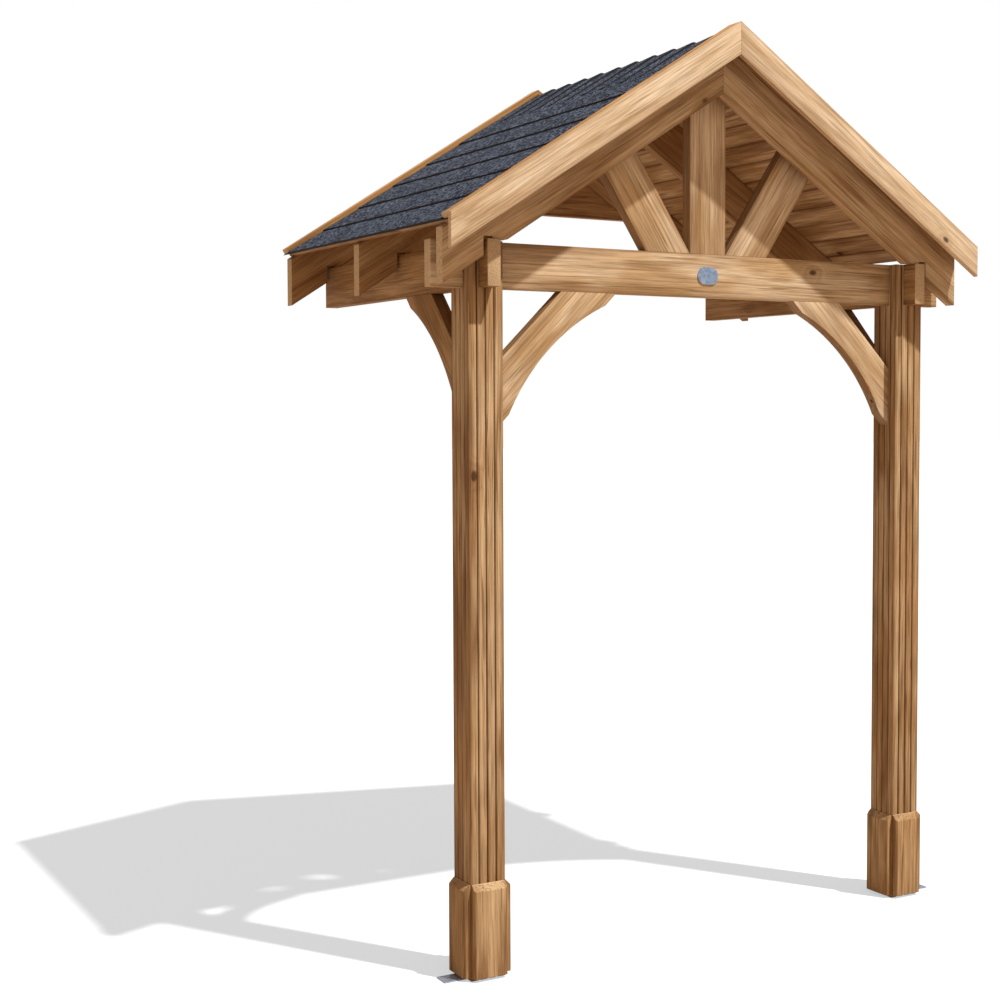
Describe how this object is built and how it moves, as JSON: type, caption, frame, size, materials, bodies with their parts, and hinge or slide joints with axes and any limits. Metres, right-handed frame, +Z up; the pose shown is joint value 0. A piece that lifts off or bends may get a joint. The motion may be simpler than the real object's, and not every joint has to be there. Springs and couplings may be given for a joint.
{
  "type": "porch canopy",
  "caption": "Open timber porch canopy with a gabled shingle roof on grooved front posts, curved braces and a king-post gable, fixed to a house wall behind.",
  "frame": {"origin": "middle of the wall board's back face, which lies on the house wall; the ground is 2.6435 m below it", "axes": "+Z up, +Y into the house wall, +X to the right seen from the front"},
  "size_m": [2.094, 1.439, 3.0623],
  "materials": {
    "timber": "pressure treated softwood, planed, honey brown with darker streaks and knots",
    "timber_dark": "the same softwood on shaded pieces",
    "roof_boards": "tongued and grooved softwood boards",
    "shingle": "bitumen felt with blue-grey mineral granules",
    "felt": "bitumen felt, black, dull",
    "zinc_steel": "galvanised, dull",
    "badge_metal": "satin blue-grey"
  },
  "bodies": {
    "root": {"post_left": "timber", "post_right": "timber", "plinth_left_front": "timber", "plinth_left_back": "timber", "plinth_left_outer": "timber", "plinth_left_inner": "timber", "plinth_right_front": "timber", "plinth_right_back": "timber", "plinth_right_outer": "timber", "plinth_right_inner": "timber", "foot_bracket_left": "zinc_steel", "foot_bracket_right": "zinc_steel", "tie_beam": "timber", "side_plate_left": "timber_dark", "side_plate_right": "timber_dark", "front_brace_left": "timber", "front_brace_right": "timber", "side_brace_left": "timber_dark", "side_brace_right": "timber_dark", "king_post": "timber", "strut_left": "timber", "strut_right": "timber", "rafter_front_left": "timber", "rafter_front_right": "timber", "rafter_mid_left": "timber_dark", "rafter_mid_right": "timber_dark", "rafter_rear_left": "timber_dark", "rafter_rear_right": "timber_dark", "wall_board": "timber_dark", "deck_left": "roof_boards", "deck_right": "roof_boards", "felt_left": "felt", "felt_right": "felt", "shingles_left": "shingle", "shingles_right": "shingle", "ridge_cap": "shingle", "barge_left": "timber", "barge_right": "timber", "verge_front_left": "timber", "verge_front_right": "timber", "verge_rear_left": "timber", "verge_rear_right": "timber", "badge": "badge_metal"}
  },
  "joints": []
}
